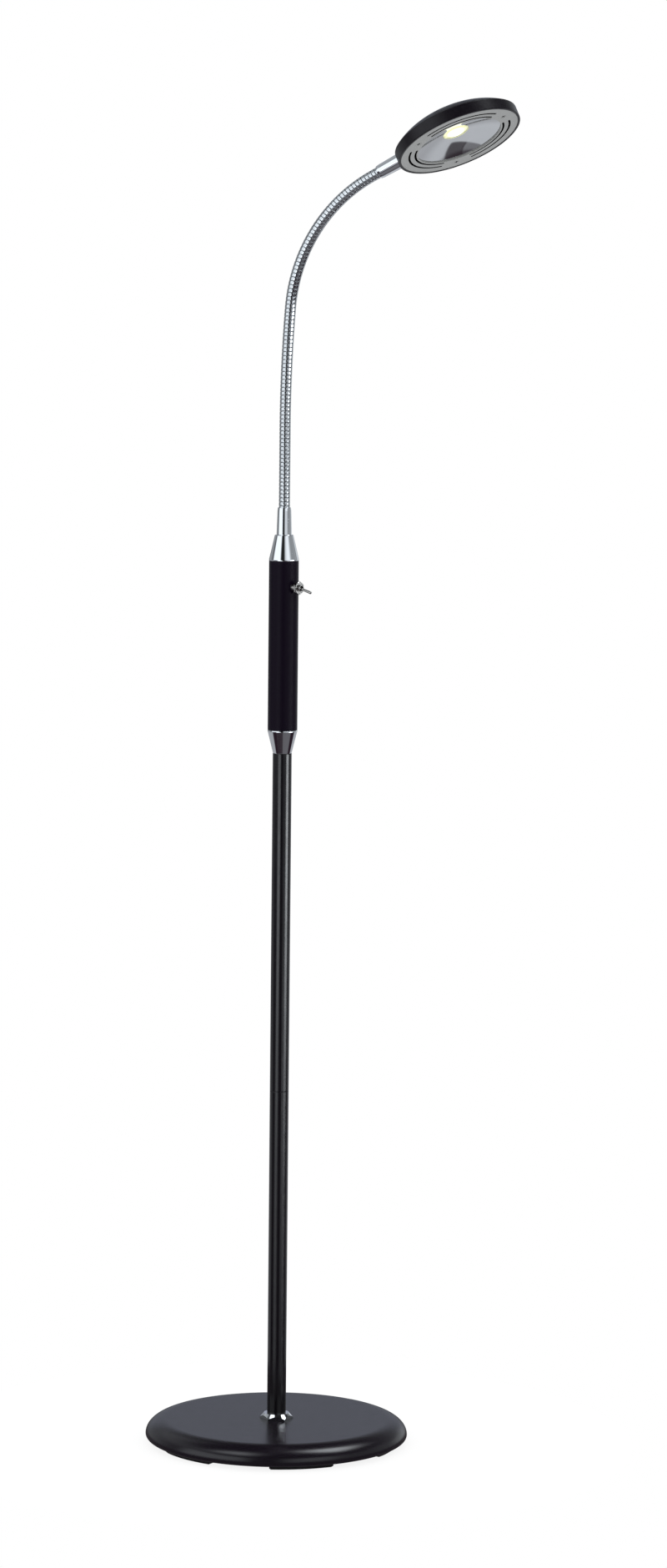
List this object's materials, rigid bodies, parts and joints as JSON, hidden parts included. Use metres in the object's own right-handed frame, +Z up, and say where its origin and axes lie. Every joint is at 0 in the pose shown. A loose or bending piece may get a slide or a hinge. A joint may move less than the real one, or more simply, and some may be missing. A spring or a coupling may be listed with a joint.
{
  "type": "gooseneck reading floor lamp",
  "caption": "Black floor lamp with a round weighted base, slim pole, grip handle with toggle switch, ribbed chrome gooseneck and a flat round head.",
  "frame": {"origin": "centre of the base plate's underside, on the axis of the pole; the feet reach 4 mm below it", "axes": "+Z up along the pole, +X the way the gooseneck bows over, so the neck at rest lies in the XZ plane"},
  "size_m": [0.3481, 0.25, 1.2787],
  "materials": {
    "cover_paint": "satin",
    "pole_paint": "satin",
    "grip_coating": "matte",
    "chrome": "polished",
    "steel": "satin",
    "weight_iron": "rough",
    "foot_rubber": "matte",
    "gland_nylon": "matte",
    "brass": "satin",
    "switch_housing": "gloss",
    "head_moulding": "satin",
    "bezel_metal": "satin",
    "reflector_metal": "semi-polished",
    "board_coat": "matte",
    "phosphor": "matte",
    "lens_glass": "clear",
    "sink_aluminium": "satin"
  },
  "bodies": {
    "stand": {"base_cover": "cover_paint", "base_weight": "weight_iron", "base_bottom_plate": "cover_paint", "base_plate_screws": "steel", "base_feet": "foot_rubber", "lead_gland": "gland_nylon", "base_lock_nut": "steel", "base_lock_washer": "steel", "pole_collar": "chrome", "pole_stud": "steel", "pole_foot_bush": "steel", "lower_pole_tube": "pole_paint", "pole_coupler": "steel", "upper_pole_tube": "pole_paint", "pole_top_bush": "steel", "handle_nipple": "steel", "lower_cone": "chrome", "handle_tube": "grip_coating", "upper_cone": "chrome", "switch_body": "switch_housing", "switch_terminals": "brass", "switch_bushing": "chrome", "switch_sleeve": "chrome", "switch_nut": "chrome", "neck_lower_nipple": "steel", "neck_lower_ferrule": "chrome", "neck_root": "chrome"},
    "link_1": {"neck_link_1": "chrome"},
    "link_2": {"neck_link_2": "chrome"},
    "link_3": {"neck_link_3": "chrome"},
    "link_4": {"neck_link_4": "chrome"},
    "link_5": {"neck_link_5": "chrome"},
    "link_6": {"neck_link_6": "chrome"},
    "link_7": {"neck_link_7": "chrome"},
    "link_8": {"neck_link_8": "chrome"},
    "head": {"neck_tip": "chrome", "neck_upper_ferrule": "chrome", "head_nipple": "steel", "head_lock_nut": "steel", "head_shell": "head_moulding", "bezel_plate": "bezel_metal", "bezel_screws": "steel", "reflector": "reflector_metal", "led_board": "board_coat", "led_emitter": "phosphor", "led_lens": "lens_glass", "board_screws": "steel", "heat_sink": "sink_aluminium"},
    "lever": {"switch_lever": "chrome"}
  },
  "joints": [
    {"name": "neck_bend_1", "type": "hinge", "parent": "stand", "child": "link_1", "pos_m": [0, 0, 0.9164], "axis": [0, 1, 0], "range_deg": [-25, 25]},
    {"name": "neck_bend_2", "type": "hinge", "parent": "link_1", "child": "link_2", "pos_m": [0, 0, 0.9534], "axis": [1, 0, 0], "range_deg": [-25, 25]},
    {"name": "neck_bend_3", "type": "hinge", "parent": "link_2", "child": "link_3", "pos_m": [0.0002, 0, 0.9904], "axis": [0, 1, 0], "range_deg": [-25, 25]},
    {"name": "neck_bend_4", "type": "hinge", "parent": "link_3", "child": "link_4", "pos_m": [0.0013, 0, 1.02738], "axis": [0.9991, 0, -0.0423], "range_deg": [-25, 25]},
    {"name": "neck_bend_5", "type": "hinge", "parent": "link_4", "child": "link_5", "pos_m": [0.00333, 0, 1.06432], "axis": [0, 1, 0], "range_deg": [-25, 25]},
    {"name": "neck_bend_6", "type": "hinge", "parent": "link_5", "child": "link_6", "pos_m": [0.00795, 0, 1.10098], "axis": [0.9733, 0, -0.2297], "range_deg": [-25, 25]},
    {"name": "neck_bend_7", "type": "hinge", "parent": "link_6", "child": "link_7", "pos_m": [0.02066, 0, 1.13564], "axis": [0, 1, 0], "range_deg": [-25, 25]},
    {"name": "neck_bend_8", "type": "hinge", "parent": "link_7", "child": "link_8", "pos_m": [0.04123, 0, 1.16629], "axis": [0.7579, 0, -0.6524], "range_deg": [-25, 25]},
    {"name": "neck_bend_9", "type": "hinge", "parent": "link_8", "child": "head", "pos_m": [0.06848, 0, 1.19118], "axis": [0, 1, 0], "range_deg": [-25, 25]},
    {"name": "switch_toggle", "type": "hinge", "parent": "stand", "child": "lever", "pos_m": [0.01939, -0.00904, 0.816], "axis": [-0.4226, -0.9063, 0], "range_deg": [0, 26]}
  ]
}
